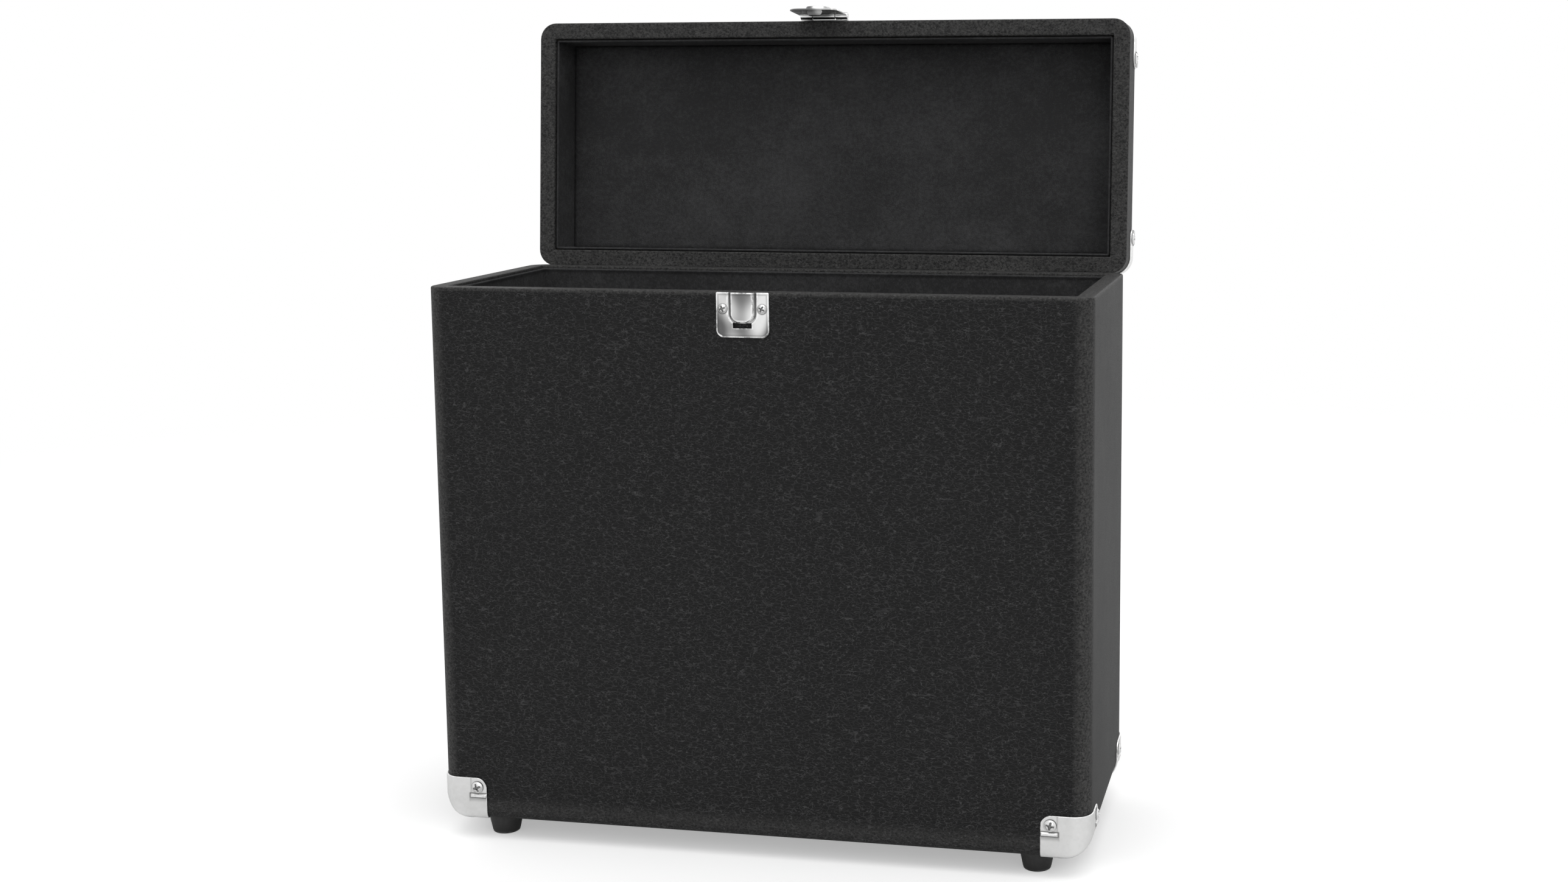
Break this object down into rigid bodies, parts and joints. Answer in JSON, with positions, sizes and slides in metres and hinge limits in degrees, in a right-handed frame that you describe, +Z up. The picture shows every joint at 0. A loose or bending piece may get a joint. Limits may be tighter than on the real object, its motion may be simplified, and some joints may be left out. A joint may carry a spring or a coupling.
{
  "type": "record carrying case",
  "caption": "Upright carrying case for long-playing records, with a hinged lid, a snap latch, metal corner caps, rubber feet and a folding handle.",
  "frame": {"origin": "on the floor under the middle of the case's outer box as it stands with its lid open", "axes": "+Z up, +Y towards the back, where the hinges are, +X to the right of someone facing the latch"},
  "size_m": [0.3776, 0.2264, 0.4743],
  "materials": {
    "board": "raw",
    "leatherette": "grained, semi-matte",
    "velvet": "short nap",
    "nickel": "satin nickel plate",
    "bright_steel": "bright plated",
    "rubber": "matte",
    "grip": "moulded, lightly grained"
  },
  "bodies": {
    "body": {"front_board": "board", "back_board": "board", "left_board": "board", "right_board": "board", "bottom_board": "board", "body_cover": "leatherette", "body_wall_lining": "velvet", "body_floor_lining": "velvet", "body_cap_front_left": "nickel", "body_cap_front_right": "nickel", "body_cap_back_left": "nickel", "body_cap_back_right": "nickel", "body_cap_screws": "bright_steel", "foot_front_left": "rubber", "foot_front_right": "rubber", "foot_back_left": "rubber", "foot_back_right": "rubber", "foot_screws": "bright_steel", "latch_catch_plate": "nickel", "catch_plate_screws": "bright_steel", "left_hinge_body_leaf": "nickel", "right_hinge_body_leaf": "nickel", "left_hinge_pin": "bright_steel", "right_hinge_pin": "bright_steel", "body_leaf_screws": "bright_steel"},
    "lid": {"lid_front_board": "board", "lid_back_board": "board", "lid_left_board": "board", "lid_right_board": "board", "lid_top_board": "board", "lid_cover": "leatherette", "lid_wall_lining": "velvet", "lid_top_lining": "velvet", "lid_cap_front_left": "nickel", "lid_cap_front_right": "nickel", "lid_cap_back_left": "nickel", "lid_cap_back_right": "nickel", "lid_cap_screws": "bright_steel", "latch_base_plate": "nickel", "base_plate_screws": "bright_steel", "latch_pin": "bright_steel", "left_hinge_lid_leaf": "nickel", "right_hinge_lid_leaf": "nickel", "lid_leaf_screws": "bright_steel", "left_handle_bracket": "nickel", "right_handle_bracket": "nickel", "bracket_screws": "bright_steel", "left_handle_pin": "bright_steel", "right_handle_pin": "bright_steel"},
    "hasp": {"latch_hasp": "nickel"},
    "handle": {"handle_grip": "grip", "left_handle_arm": "nickel", "right_handle_arm": "nickel"}
  },
  "joints": [
    {"name": "lid_hinge", "type": "hinge", "parent": "body", "child": "lid", "pos_m": [0, 0.04456, 0.312], "axis": [1, 0, 0], "range_deg": [0, 95]},
    {"name": "hasp_hinge", "type": "hinge", "parent": "lid", "child": "hasp", "pos_m": [-0.003, 0.06733, 0.46901], "axis": [-1, 0, 0], "range_deg": [0, 110]},
    {"name": "handle_hinge", "type": "hinge", "parent": "lid", "child": "handle", "pos_m": [0, 0.10624, 0.38591], "axis": [1, 0, 0], "range_deg": [-5, 175]}
  ]
}
